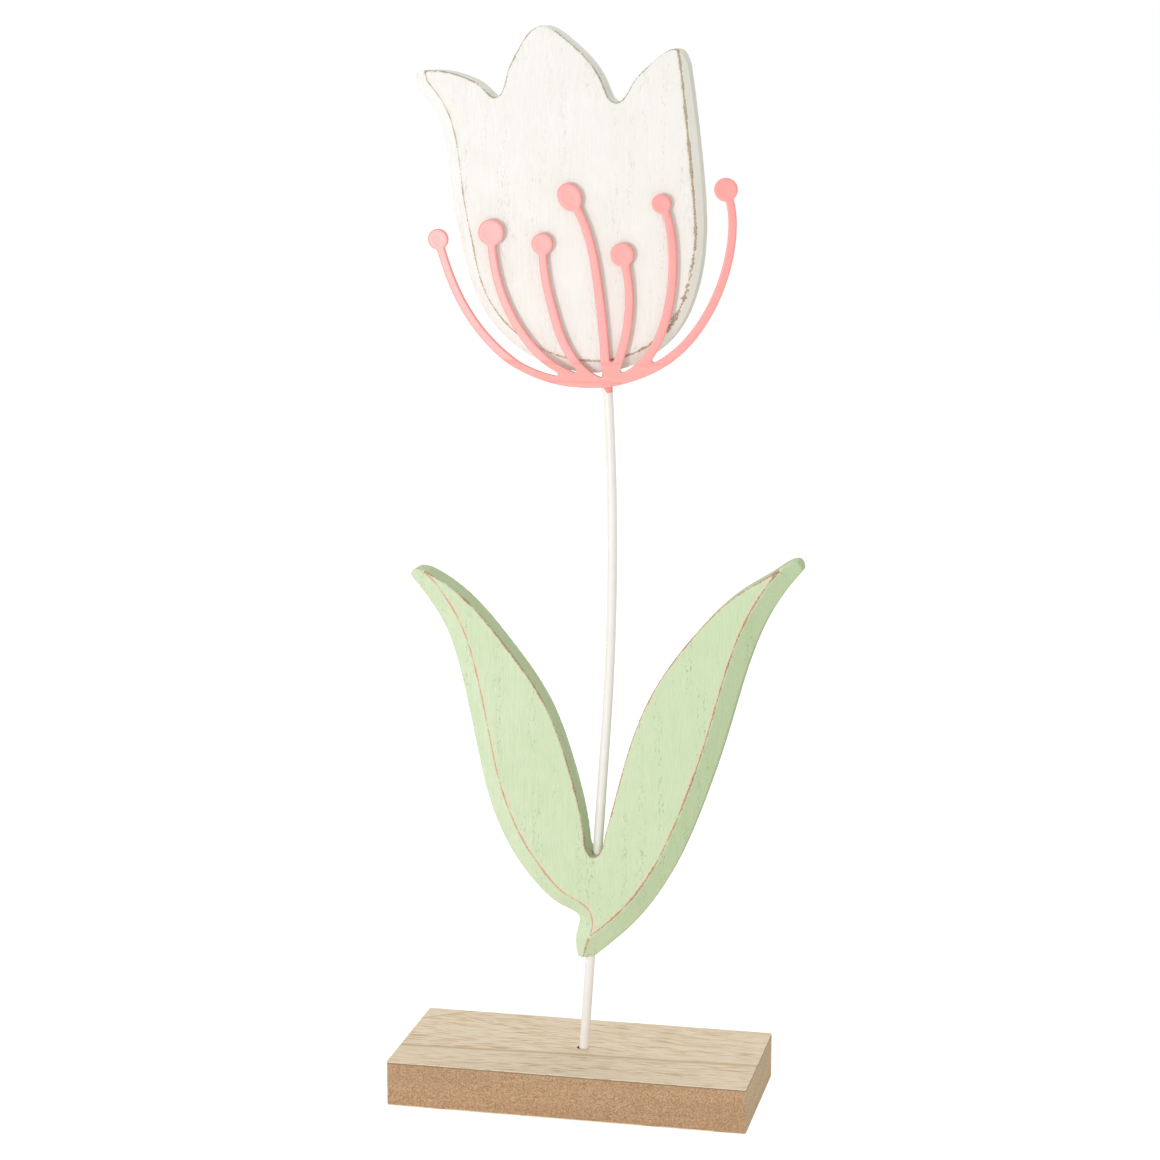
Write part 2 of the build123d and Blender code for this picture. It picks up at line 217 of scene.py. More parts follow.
def facing_of(tree):
    """The x, y and z of the way that a surface faces."""
    normal = add(tree, "ShaderNodeTexCoord", out="Normal")
    return add(tree, "ShaderNodeSeparateXYZ", {0: normal}, out=None)


def painted_board(name, paint, deep, pore, halo, wood, dark_wood, tints, lines, chipped_below, seed):
    """Matt wall paint brushed over an open-grained softwood board, then sanded through along the
    front edges. The eye gets a soft, nearly even colour, fine upright grain with a few open pores
    in bands, and a broken brown line of bare wood at each rubbed edge. The tints are for the bevels
    that face right, the sawn sides and the bevels that face left. The lines are about half the
    width in mm of a bevel's line at the left, at the right and of a square edge's, and how much
    cleaner the bevels' wood is at the left."""
    material, tree, shader, place = new_finish(name)
    half_left, half_right, half_square, cleaner_left = lines
    # Grain ridges are 0.6 mm apart and about 7 mm long
    ridges = grain(tree, place, 0.6 * MM, seed, 3.0, (1, 1, 0.085), roughness=0.6)
    clouds = grain(tree, place, 14 * MM, seed + 3, 2.0, limits=(0.35, 0.7))
    tone = add(tree, "ShaderNodeMapRange", {0: ridges, 1: 0.36, 2: 0.66, 4: 0.65})
    tone = add(tree, "ShaderNodeMath", {0: clouds, 1: 0.35, 2: tone}, operation="MULTIPLY_ADD")
    # Towards the right the coat leans further to its deeper tone
    axes = add(tree, "ShaderNodeSeparateXYZ", {0: place}, out=None)
    right = add(tree, "ShaderNodeMapRange", {0: axes[0], 1: -30 * MM, 2: 50 * MM})
    deeper_to_right = add(tree, "ShaderNodeMapRange", {0: right, 3: 1.0, 4: 0.45})
    tone = add(tree, "ShaderNodeMath", {0: tone, 1: deeper_to_right}, operation="MULTIPLY")
    coat = add(tree, "ShaderNodeMix", {0: tone, 6: deep, 7: paint}, data_type="RGBA", out=2)
    # Real pores are 0.2 mm wide; at 0.3 mm they still show in the picture. They are 2 mm long
    specks = grain(tree, place, 0.3 * MM, seed + 7, 1.0, (1, 1, 0.15), limits=(0.62, 0.7))
    strips = grain(tree, place, 4 * MM, seed + 11, 2.0, (1, 0, 0.06), limits=(0.5, 0.62))
    pores = add(tree, "ShaderNodeMath", {0: strips, 1: specks}, operation="MULTIPLY")
    coat = add(tree, "ShaderNodeMix", {0: pores, 6: coat, 7: pore}, data_type="RGBA", out=2)
    # The rubbed line wanders every 7 mm or so and its edge is ragged at 0.6 mm
    patches = grain(tree, place, 7 * MM, seed + 17, 2.0, limits=(0.33, 0.67))
    ragged = grain(tree, place, 0.6 * MM, seed + 19, 2.0, limits=(0.3, 0.7))
    gaps = []
    for line in ("flank_mm", "square_mm", "ridge_mm"):
        across = add(tree, "ShaderNodeAttribute", attribute_name=line, out="Fac")
        gap = add(tree, "ShaderNodeMath", {0: across}, operation="ABSOLUTE")
        gaps.append((across, gap))
    # Where the two kinds of edge meet, at a tip, a little more is rubbed off
    tip = add(tree, "ShaderNodeMath", {0: gaps[0][1], 1: gaps[1][1]}, operation="MAXIMUM")
    tip = add(tree, "ShaderNodeMapRange", {0: tip, 1: 1.6, 2: 0.4, 4: 0.3})
    rough = add(tree, "ShaderNodeMath", {0: patches, 1: ragged}, operation="ADD")
    half_flank = add(tree, "ShaderNodeMapRange", {0: right, 3: half_left, 4: half_right})
    # Low on the right flank whole chips of 1.3 mm are gone
    chips = grain(tree, place, 1.3 * MM, seed + 23, 2.0, limits=(0.48, 0.62))
    low = add(tree, "ShaderNodeMapRange", {0: axes[2], 1: chipped_below, 2: chipped_below - 15 * MM})
    for share in (right, low):
        chips = add(tree, "ShaderNodeMath", {0: chips, 1: share}, operation="MULTIPLY")
    flank_rough = add(tree, "ShaderNodeMath", {0: chips, 1: 1.3, 2: rough}, operation="MULTIPLY_ADD")
    worn = []
    pale = []
    for (across, gap), uneven, half_width, shift, strength, torn in (
        (gaps[0], flank_rough, half_flank, -0.14, 1.0, 0.7), (gaps[1], rough, half_square, -0.27, 0.9, 0.3),
        (gaps[2], rough, 0.4, 0.08, 0.9, None),
    ):
        reach = add(tree, "ShaderNodeMath", {0: uneven, 1: half_width, 2: shift}, operation="MULTIPLY_ADD")
        reach = add(tree, "ShaderNodeMath", {0: reach, 1: tip}, operation="ADD")
        past = add(tree, "ShaderNodeMath", {0: gap, 1: reach}, operation="SUBTRACT")
        worn.append(add(tree, "ShaderNodeMapRange", {0: past, 1: 0.12, 2: -0.08, 4: strength}))
        # The coat is torn thin beside a line, but not at the ridge
        if torn is None:
            continue
        torn_edge = add(tree, "ShaderNodeMath", {0: rough, 1: -torn, 2: past}, operation="MULTIPLY_ADD")
        thin = add(tree, "ShaderNodeMapRange", {0: torn_edge, 1: 0.15, 2: -0.15})
        inner = add(tree, "ShaderNodeMapRange", {0: across, 1: 0.3, 2: -0.1, 3: 0.15})
        pale.append(add(tree, "ShaderNodeMath", {0: thin, 1: inner}, operation="MULTIPLY"))
    flank_worn, square_worn, ridge_worn = worn
    bevel_worn = add(tree, "ShaderNodeMath", {0: flank_worn, 1: ridge_worn}, operation="MAXIMUM")
    worn = add(tree, "ShaderNodeMath", {0: bevel_worn, 1: square_worn}, operation="MAXIMUM")
    # The wood is dirtier on the square edges and cleaner at the left bevels
    left = add(tree, "ShaderNodeMapRange", {0: right, 1: 0.55, 2: 0.35, 4: cleaner_left})
    cleaner = add(tree, "ShaderNodeMath", {0: bevel_worn, 1: left}, operation="MULTIPLY")
    cleaner = add(tree, "ShaderNodeMath", {0: square_worn, 1: -0.06, 2: cleaner}, operation="MULTIPLY_ADD")
    pale = add(tree, "ShaderNodeMath", {0: pale[0], 1: pale[1]}, operation="MAXIMUM")
    coat = add(tree, "ShaderNodeMix", {0: pale, 6: coat, 7: halo}, data_type="RGBA", out=2)
    # Painted light and shade by facing: bevels that face right or left are tinted lighter or darker as if lit, and the
    # sawn sides are darker, partly for a thinner coat and partly as painted shade
    facing = facing_of(tree)
    flat = add(tree, "ShaderNodeMath", {0: facing[1]}, operation="ABSOLUTE")
    side = add(tree, "ShaderNodeMapRange", {0: flat, 1: 0.45, 2: 0.2})
    right_light_share = add(tree, "ShaderNodeMapRange", {0: facing[0], 1: 0.2, 2: 0.4})
    left_light_share = add(tree, "ShaderNodeMapRange", {0: facing[0], 1: -0.2, 2: -0.4})
    for share, tint in zip((right_light_share, side, left_light_share), tints):
        coat = add(tree, "ShaderNodeMix", {0: share, 6: coat, 7: (*tint, 1.0)}, data_type="RGBA",
                   blend_type="MULTIPLY", out=2)
    # The saw left fine lines along the sides, 0.9 mm apart
    sawn = grain(tree, place, 0.9 * MM, seed + 31, 2.0, (0.03, 1, 0.03))
    sawn = add(tree, "ShaderNodeMapRange", {0: sawn, 1: 0.35, 2: 0.65, 3: 0.9, 4: 1.06})
    coat = add(tree, "ShaderNodeMix", {0: side, 6: coat, 7: sawn}, data_type="RGBA", blend_type="MULTIPLY", out=2)
    # Bare wood is flecked with what is left of the paint and with dirt, 0.45 mm across
    grit = grain(tree, place, 0.45 * MM, seed + 29, 1.0)
    grit = add(tree, "ShaderNodeMath", {0: grit, 1: cleaner}, operation="ADD")
    fleck = add(tree, "ShaderNodeMapRange", {0: grit, 1: 0.4, 2: 0.56})
    timber = add(tree, "ShaderNodeMix", {0: fleck, 6: dark_wood, 7: wood}, data_type="RGBA", out=2)
    face = add(tree, "ShaderNodeMix", {0: worn, 6: coat, 7: timber}, data_type="RGBA", out=2)
    matt = add(tree, "ShaderNodeMapRange", {0: worn, 3: 0.62, 4: 0.85})
    height = 0.0
    for relief, share in ((ridges, 0.45), (pores, -0.12), (worn, -0.1)):
        height = add(tree, "ShaderNodeMath", {0: relief, 1: share, 2: height}, operation="MULTIPLY_ADD")
    bump = add(tree, "ShaderNodeBump", {"Strength": 0.6, "Distance": MM, "Height": height})
    feed(tree, shader, {"Base Color": face, "Roughness": matt, "IOR": PAINT_IOR, "Normal": bump})
    return material


def satin_enamel(name, paint, deep, thin, seed):
    """Satin enamel sprayed on sheet steel: an even colour with a soft sheen, and a faint orange
    peel that only breaks up the highlights."""
    material, tree, shader, place = new_finish(name)
    # Orange peel is about 1.2 mm across
    peel = grain(tree, place, 1.2 * MM, seed, 2.0)
    clouds = grain(tree, place, 9 * MM, seed + 1, 2.0)
    tone = add(tree, "ShaderNodeMapRange", {0: clouds, 1: 0.3, 2: 0.65})
    coat = add(tree, "ShaderNodeMix", {0: tone, 6: deep, 7: paint}, data_type="RGBA", out=2)
    facing = facing_of(tree)
    # Painted highlight: the root, which slopes under the flower, is mixed towards the paler colour where it faces
    # down, against its shade. The back took a thinner, paler coat
    painted_root_light = add(tree, "ShaderNodeMapRange", {0: facing[2], 1: -0.05, 2: -0.5, 4: 0.38})
    behind = add(tree, "ShaderNodeMapRange", {0: facing[1], 1: 0.3, 2: 0.8})
    for share in (painted_root_light, behind):
        coat = add(tree, "ShaderNodeMix", {0: share, 6: coat, 7: thin}, data_type="RGBA", out=2)
    sheen = add(tree, "ShaderNodeMapRange", {0: clouds, 3: 0.27, 4: 0.33})
    bump = add(tree, "ShaderNodeBump", {"Strength": 0.12, "Distance": 0.03 * MM, "Height": peel})
    feed(tree, shader, {"Base Color": coat, "Roughness": sheen, "IOR": PAINT_IOR, "Normal": bump})
    return material


def cream_lacquer(name, lacquer, pink, seed):
    """Cream lacquer dipped on steel wire, with the stamens' pink brushed over its top: a smooth,
    fairly glossy round rod with slight sags along it."""
    material, tree, shader, place = new_finish(name)
    # Sags follow each other every 5 mm along the wire
    sags = grain(tree, place, 5 * MM, seed, 3.0)
    deep = tuple(share * tint for share, tint in zip(lacquer, (0.97, 0.965, 0.955, 1.0)))
    tone = add(tree, "ShaderNodeMapRange", {0: sags, 1: 0.35, 2: 0.65})
    coat = add(tree, "ShaderNodeMix", {0: tone, 6: deep, 7: tuple(lacquer)}, data_type="RGBA", out=2)
    axes = add(tree, "ShaderNodeSeparateXYZ", {0: place}, out=None)
    # The pink ends level on the right and climbs to the left, round the wire
    slant = add(tree, "ShaderNodeMath", {0: axes[0], 1: 1.5, 2: axes[2]}, operation="MULTIPLY_ADD")
    slant = add(tree, "ShaderNodeMath", {0: slant, 1: 16.2 * MM}, operation="SUBTRACT")
    edge = add(tree, "ShaderNodeMath", {0: slant, 1: axes[2]}, operation="MINIMUM")
    edge = add(tree, "ShaderNodeMath", {0: sags, 1: MM, 2: edge}, operation="MULTIPLY_ADD")
    brushed = add(tree, "ShaderNodeMapRange", {0: edge, 1: PINK_FROM_Z, 2: PINK_FROM_Z + 0.4 * MM})
    coat = add(tree, "ShaderNodeMix", {0: brushed, 6: coat, 7: tuple(pink)}, data_type="RGBA", out=2)
    sheen = add(tree, "ShaderNodeMapRange", {0: sags, 3: 0.28, 4: 0.42})
    feed(tree, shader, {"Base Color": coat, "Roughness": sheen, "IOR": PAINT_IOR})
    return material


def sawn_fibreboard(name, side, end, seed):
    """Medium density fibreboard, sawn: brown pressed fibre with pale and dark specks and faint level bands,
    paler and greyer where it is cut across."""
    material, tree, shader, place = new_finish(name)
    # Fibre bundles are 0.3 mm thick; at 0.42 mm they still show in the picture
    fibres = grain(tree, place, 0.42 * MM, seed, 2.0, (0.7, 0.7, 1.0), roughness=0.7)
    # Pressed layers and the saw leave faint level bands, 3 mm apart and about 50 mm long
    layers = grain(tree, place, 3 * MM, seed + 2, 2.0, (0.06, 0.06, 1.0))
    facing = facing_of(tree)
    across = add(tree, "ShaderNodeMath", {0: facing[0]}, operation="ABSOLUTE")
    body = add(tree, "ShaderNodeMix", {0: across, 6: tuple(side), 7: end}, data_type="RGBA", out=2)
    dark, light = (
        add(tree, "ShaderNodeMix", {0: 1.0, 6: body, 7: tint}, data_type="RGBA", blend_type="MULTIPLY", out=2)
        for tint in ((0.62, 0.55, 0.48, 1.0), (1.35, 1.4, 1.45, 1.0)))
    shade = add(tree, "ShaderNodeMapRange", {0: fibres, 1: 0.5, 2: 0.34})
    shine = add(tree, "ShaderNodeMapRange", {0: fibres, 1: 0.5, 2: 0.66})
    soft = add(tree, "ShaderNodeMapRange", {0: layers, 1: 0.6, 2: 0.35, 4: 0.18})
    fibre = body
    for share, other in ((shade, dark), (shine, light), (soft, dark)):
        fibre = add(tree, "ShaderNodeMix", {0: share, 6: fibre, 7: other}, data_type="RGBA", out=2)
    # A thin dark glue line lies under the top veneer
    rise = add(tree, "ShaderNodeSeparateXYZ", {0: place}, out=2)
    edge = add(tree, "ShaderNodeMath", {0: fibres, 1: 0.5 * MM, 2: rise}, operation="MULTIPLY_ADD")
    glue = add(tree, "ShaderNodeMapRange", {0: edge, 1: CORE_TOP_Z - 0.35 * MM, 2: CORE_TOP_Z - 0.1 * MM})
    face = add(tree, "ShaderNodeMix", {0: glue, 6: fibre, 7: linear("#96826A")}, data_type="RGBA", out=2)
    bump = add(tree, "ShaderNodeBump", {"Strength": 0.5, "Distance": 0.25 * MM, "Height": fibres})
    feed(tree, shader, {"Base Color": face, "Roughness": 0.9, "Specular IOR Level": 0.25, "Normal": bump})
    return material


def oiled_veneer(name, pale, streak, seed):
    """Ring-porous hardwood veneer, sanded and thinly oiled: pale beige with short brown pore
    streaks along the grain, one broad darker growth line and a paler corner at the back."""
    material, tree, shader, place = new_finish(name)
    # Grain wanders by about 2 mm over the block's length
    bow = grain(tree, place, 60 * MM, seed, 1.0)
    axes = add(tree, "ShaderNodeSeparateXYZ", {0: place}, out=None)
    drift = add(tree, "ShaderNodeMath", {0: bow, 1: 8 * MM, 2: axes[1]}, operation="MULTIPLY_ADD")
    # It also fans out: a little to the back in front, twice as much to the front behind
    fan = add(tree, "ShaderNodeMapRange", {0: axes[1], 1: -12 * MM, 2: 12 * MM, 3: -0.05, 4: 0.1})
    drift = add(tree, "ShaderNodeMath", {0: axes[0], 1: fan, 2: drift}, operation="MULTIPLY_ADD")
    lay = add(tree, "ShaderNodeCombineXYZ", {0: axes[0], 1: drift, 2: axes[2]})
    # Pore streaks are 0.3 mm wide, drawn at 0.55 mm so that they show, and about 9 mm long
    streaks = grain(tree, lay, 0.55 * MM, seed + 2, 2.0, (0.06, 1, 1), roughness=0.55)
    rings = grain(tree, lay, 3.5 * MM, seed + 5, 2.0, (0.06, 1, 1))
    streak_share = add(tree, "ShaderNodeMapRange", {0: streaks, 1: 0.49, 2: 0.61})
    ring_share = add(tree, "ShaderNodeMapRange", {0: rings, 1: 0.4, 2: 0.6, 3: 0.4, 4: 1.0})
    # One growth ring cuts off the back left corner, which has fewer pores
    corner = add(tree, "ShaderNodeMath", {0: axes[0], 1: -0.68, 2: axes[1]}, operation="MULTIPLY_ADD")
    corner = add(tree, "ShaderNodeMath", {0: corner, 1: 71.3 * MM}, operation="SUBTRACT")
    fewer = add(tree, "ShaderNodeMapRange", {0: corner, 2: 1.5 * MM, 3: 1.0, 4: 0.35})
    marks = streak_share
    for share in (ring_share, fewer):
        marks = add(tree, "ShaderNodeMath", {0: marks, 1: share}, operation="MULTIPLY")
    ring = add(tree, "ShaderNodeMath", {0: corner}, operation="ABSOLUTE")
    ring = add(tree, "ShaderNodeMapRange", {0: ring, 1: 1.6 * MM, 2: 0.2 * MM, 4: 0.6})
    # The broad line runs the whole length, 9 mm in front of the middle
    off = add(tree, "ShaderNodeMath", {0: axes[0], 1: -0.045, 2: axes[1]}, operation="MULTIPLY_ADD")
    off = add(tree, "ShaderNodeMath", {0: off, 1: 8.3 * MM}, operation="ADD")
    off = add(tree, "ShaderNodeMath", {0: bow, 1: 2 * MM, 2: off}, operation="MULTIPLY_ADD")
    off = add(tree, "ShaderNodeMath", {0: off}, operation="ABSOLUTE")
    line = add(tree, "ShaderNodeMapRange", {0: off, 1: 2.2 * MM, 2: 0.3 * MM, 4: 0.8})
    broken = add(tree, "ShaderNodeMapRange", {0: streaks, 1: 0.35, 2: 0.55, 3: 0.6})
    line = add(tree, "ShaderNodeMath", {0: line, 1: broken}, operation="MULTIPLY")
    for mark in (ring, line):
        marks = add(tree, "ShaderNodeMath", {0: marks, 1: mark}, operation="MAXIMUM")
    face = add(tree, "ShaderNodeMix", {0: marks, 6: tuple(pale), 7: streak}, data_type="RGBA", out=2)
    bump = add(tree, "ShaderNodeBump", {"Strength": 0.3, "Distance": 0.1 * MM, "Height": streaks})
    feed(tree, shader, {"Base Color": face, "Roughness": 0.6, "Specular IOR Level": 0.35, "Normal": bump})
    return material


def studio_floor(name, paint):
    """Matt white board. The camera sees it as white paper that keeps a faint shadow."""
    material, tree, shader, _ = new_finish(name)
    seen = seen_directly(tree)
    body = add(tree, "ShaderNodeMix", {0: seen, 6: tuple(paint), 7: (0.3, 0.3, 0.3, 1.0)}, data_type="RGBA", out=2)
    glow = add(tree, "ShaderNodeMath", {0: seen, 1: FLOOR_GLOW}, operation="MULTIPLY")
    feed(tree, shader, {"Base Color": body, "Roughness": 1.0, "Specular IOR Level": 0.0,
                        "Emission Color": (1, 1, 1, 1), "Emission Strength": glow})
    return material


# Meshes
def shown(name, mesh):
    """A new object in the scene, at the origin."""
    obj = bpy.data.objects.new(name, mesh)
    bpy.context.scene.collection.objects.link(obj)
    return obj


def bare_copy(node, name):
    """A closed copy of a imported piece's mesh, its loose triangles joined up."""
    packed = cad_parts[node].data
    mesh = bpy.data.meshes.new(name)
    mesh.from_pydata([v.co for v in packed.vertices], [], [p.vertices[:] for p in packed.polygons])
    shell = bmesh.new()
    shell.from_mesh(mesh)
    bmesh.ops.remove_doubles(shell, verts=shell.verts, dist=SAME_POINT)
    open_edges = [edge for edge in shell.edges if not edge.is_manifold]
    shell.to_mesh(mesh)
    shell.free()
    if open_edges:
        raise RuntimeError(f"{node} has {len(open_edges)} open edges")
    return shown(name, mesh)


def new_tree(name, sockets):
    """An empty Geometry Nodes tree with named inputs: (tree, its inputs)."""
    tree = bpy.data.node_groups.new(name, "GeometryNodeTree")
    tree.interface.new_socket("Geometry", in_out="OUTPUT", socket_type="NodeSocketGeometry")
    tree.interface.new_socket("Geometry", in_out="INPUT", socket_type="NodeSocketGeometry")
    for label, kind in sockets:
        tree.interface.new_socket(label, in_out="INPUT", socket_type=f"NodeSocket{kind}")
    return tree, add(tree, "NodeGroupInput", out=None)


def close_tree(tree, geometry, finish):
    """Ends a tree: instances made real and the finish set."""
    real = add(tree, "GeometryNodeRealizeInstances", {0: geometry})
    painted = add(tree, "GeometryNodeSetMaterial", {0: real, "Material": finish})
    add(tree, "NodeGroupOutput", {0: painted}, out=None)


def grow(obj, tree, values):
    """Adds a tree to an object, with its named inputs set."""
    modifier = obj.modifiers.new(tree.name, "NODES")
    modifier.node_group = tree
    for item in tree.interface.items_tree:
        if item.in_out == "INPUT" and item.name in values:
            modifier[item.identifier] = values[item.name]


def settle(obj):
    """Turns an object's modifiers into plain mesh."""
    view = bpy.context.evaluated_depsgraph_get()
    mesh = bpy.data.meshes.new_from_object(obj.evaluated_get(view), preserve_all_data_layers=True, depsgraph=view)
    obj.modifiers.clear()
    obj.data = mesh
    if not mesh.polygons:
        raise RuntimeError(f"{obj.name} came out empty")


def remeshed(obj, grid, passes):
    """Gives an object an even mesh and rounds its edges a little, as paint and sanding do."""
    skin = obj.modifiers.new("Even mesh", "REMESH")
    skin.mode = "VOXEL"
    skin.voxel_size = grid
    skin.use_smooth_shade = True
    ease = obj.modifiers.new("Eased edges", "SMOOTH")
    ease.factor = 0.5
    ease.iterations = passes


def crisper(tree, geometry, bare):
    """Puts back most of what remeshing and smoothing took off the bare solid's edges."""
    where = add(tree, "GeometryNodeInputPosition")
    skin = add(tree, "GeometryNodeProximity", {0: bare}, target_element="FACES", out="Position")
    placed = add(tree, "ShaderNodeMix", {0: CRISP_SHARE, 4: where, 5: skin}, data_type="VECTOR", out=1)
    return add(tree, "GeometryNodeSetPosition", {0: geometry, "Position": placed})


def dressed(node, name, grid, tree, values):
    """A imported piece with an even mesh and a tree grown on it, which also sees the bare piece."""
    bare = bare_copy(node, f"bare_{node}")
    piece = shown(name, bare.data.copy())
    remeshed(piece, grid, 2)
    grow(piece, tree, {"Bare": bare, **values})
    settle(piece)
    bpy.data.objects.remove(bare)
    return piece


def moved_in(tree, geometry, amount, outward):
    """Moves each point by an amount, away from where outward points."""
    inward = add(tree, "ShaderNodeMath", {0: amount, 1: -1.0}, operation="MULTIPLY")
    offset = add(tree, "ShaderNodeVectorMath", {0: outward, "Scale": inward}, operation="SCALE")
    return add(tree, "GeometryNodeSetPosition", {0: geometry, "Offset": offset})


def plate_tree():
    """A board: how far each point lies across the two kinds of rubbed edge and from the ridge, in
    mm, and the grain and the uneven rubbing as real relief."""
    tree, given = new_tree("Rubbed board", [
        ("Bare", "Object"), ("Front", "Float"), ("Wear drop", "Float"), ("Flank wear", "Float"),
        ("Square wear", "Float"), ("Grain width", "Float"), ("Grain depth", "Float"), ("Chip depth", "Float"),
        ("Seed", "Float"), ("Ridge low", "Vector"), ("Ridge high", "Vector"), ("Finish", "Material"),
    ])
    bare = add(tree, "GeometryNodeObjectInfo", {"Object": given["Bare"]}, out="Geometry")
    where = add(tree, "GeometryNodeInputPosition")
    depth = add(tree, "ShaderNodeSeparateXYZ", {0: where}, out=1)
    turn = add(tree, "GeometryNodeInputMeshEdgeAngle")
    behind = add(tree, "ShaderNodeMath", {0: given["Front"], 1: given["Wear drop"]}, operation="ADD")
    geometry = crisper(tree, given["Geometry"], bare)
    nears = []
    # Each rubbed edge is a narrow slope between two lines, told apart by how far the surface turns
    for label, wear, inner_turn, outer_turn in (
        ("flank_mm", "Flank wear", (16.5, 6.5), (29.5, 26.5)), ("square_mm", "Square wear", (31.5, 8.5), (67, 11)),
    ):
        slope = add(tree, "ShaderNodeCombineXYZ", {0: given[wear], 1: given["Wear drop"]})
        slope = add(tree, "ShaderNodeVectorMath", {0: slope}, operation="LENGTH", out="Value")
        gaps = []
        squares = []
        for level, (middle, spread) in ((given["Front"], inner_turn), (behind, outer_turn)):
            flat = add(tree, "ShaderNodeMath", {0: depth, 1: level, 2: 0.02 * MM}, operation="COMPARE")
            sharp = add(tree, "ShaderNodeMath", {0: turn, 1: radians(middle), 2: radians(spread)}, operation="COMPARE")
            both = add(tree, "ShaderNodeMath", {0: flat, 1: sharp}, operation="MULTIPLY")
            line = add(tree, "GeometryNodeSeparateGeometry", {0: bare, 1: both}, domain="EDGE")
            gap = add(tree, "GeometryNodeProximity", {0: line}, target_element="EDGES", out="Distance")
            gaps.append(gap)
            squares.append(add(tree, "ShaderNodeMath", {0: gap, 1: gap}, operation="MULTIPLY"))
        across = add(tree, "ShaderNodeMath", {0: squares[0], 1: squares[1]}, operation="SUBTRACT")
        across = add(tree, "ShaderNodeMath", {0: across, 1: slope}, operation="DIVIDE")
        across = add(tree, "ShaderNodeMath", {0: across, 1: 0.5}, operation="MULTIPLY")
        # Past an edge's end the two lines' distances cancel, so the plain distance takes over there
        far = add(tree, "ShaderNodeMath", {0: gaps[0], 1: gaps[1]}, operation="MINIMUM")
        far = add(tree, "ShaderNodeMath", {0: far, 1: slope}, operation="SUBTRACT")
        near = add(tree, "ShaderNodeMath", {0: across}, operation="ABSOLUTE")
        near = add(tree, "ShaderNodeMath", {0: near, 1: far}, operation="MAXIMUM")
        near = add(tree, "ShaderNodeMath", {0: near, 1: 1 / MM}, operation="MULTIPLY")
        hand = add(tree, "ShaderNodeMath", {0: across}, operation="SIGN")
        across = add(tree, "ShaderNodeMath", {0: near, 1: hand}, operation="MULTIPLY")
        geometry = add(tree, "GeometryNodeStoreNamedAttribute", {0: geometry, "Name": label, "Value": across},
                       data_type="FLOAT", domain="POINT")
        nears.append(near)
    nearest = add(tree, "ShaderNodeMath", {0: nears[0], 1: nears[1]}, operation="MINIMUM")
    ridge = add(tree, "GeometryNodeMeshLine", {0: 2, 2: given["Ridge low"], 3: given["Ridge high"]}, mode="END_POINTS")
    ridge = add(tree, "GeometryNodeProximity", {0: ridge}, target_element="EDGES", out="Distance")
    ridge = add(tree, "ShaderNodeMath", {0: ridge, 1: 1 / MM}, operation="MULTIPLY")
    geometry = add(tree, "GeometryNodeStoreNamedAttribute", {0: geometry, "Name": "ridge_mm", "Value": ridge},
                   data_type="FLOAT", domain="POINT")
    fine = add(tree, "ShaderNodeMath", {0: 1.0, 1: given["Grain width"]}, operation="DIVIDE")
    along = add(tree, "ShaderNodeVectorMath", {0: where, 1: (1, 1, 0.05)}, operation="MULTIPLY")
    ridges = add(tree, "ShaderNodeTexNoise", {"Vector": along, "W": given["Seed"], "Scale": fine, "Detail": 1.0},
                 noise_dimensions="4D")
    chips = grain(tree, where, 1.6 * MM, given["Seed"], 2.0, limits=(0.4, 0.7))
    rubbed = add(tree, "ShaderNodeMapRange", {0: nearest, 1: 0.9, 2: 0.3}, interpolation_type="SMOOTHSTEP")
    rubbed = add(tree, "ShaderNodeMath", {0: rubbed, 1: chips}, operation="MULTIPLY")
    inward = add(tree, "ShaderNodeMath", {0: ridges, 1: given["Grain depth"]}, operation="MULTIPLY")
    inward = add(tree, "ShaderNodeMath", {0: rubbed, 1: given["Chip depth"], 2: inward}, operation="MULTIPLY_ADD")
    geometry = moved_in(tree, geometry, inward, add(tree, "GeometryNodeInputNormal"))
    close_tree(tree, geometry, given["Finish"])
    return tree


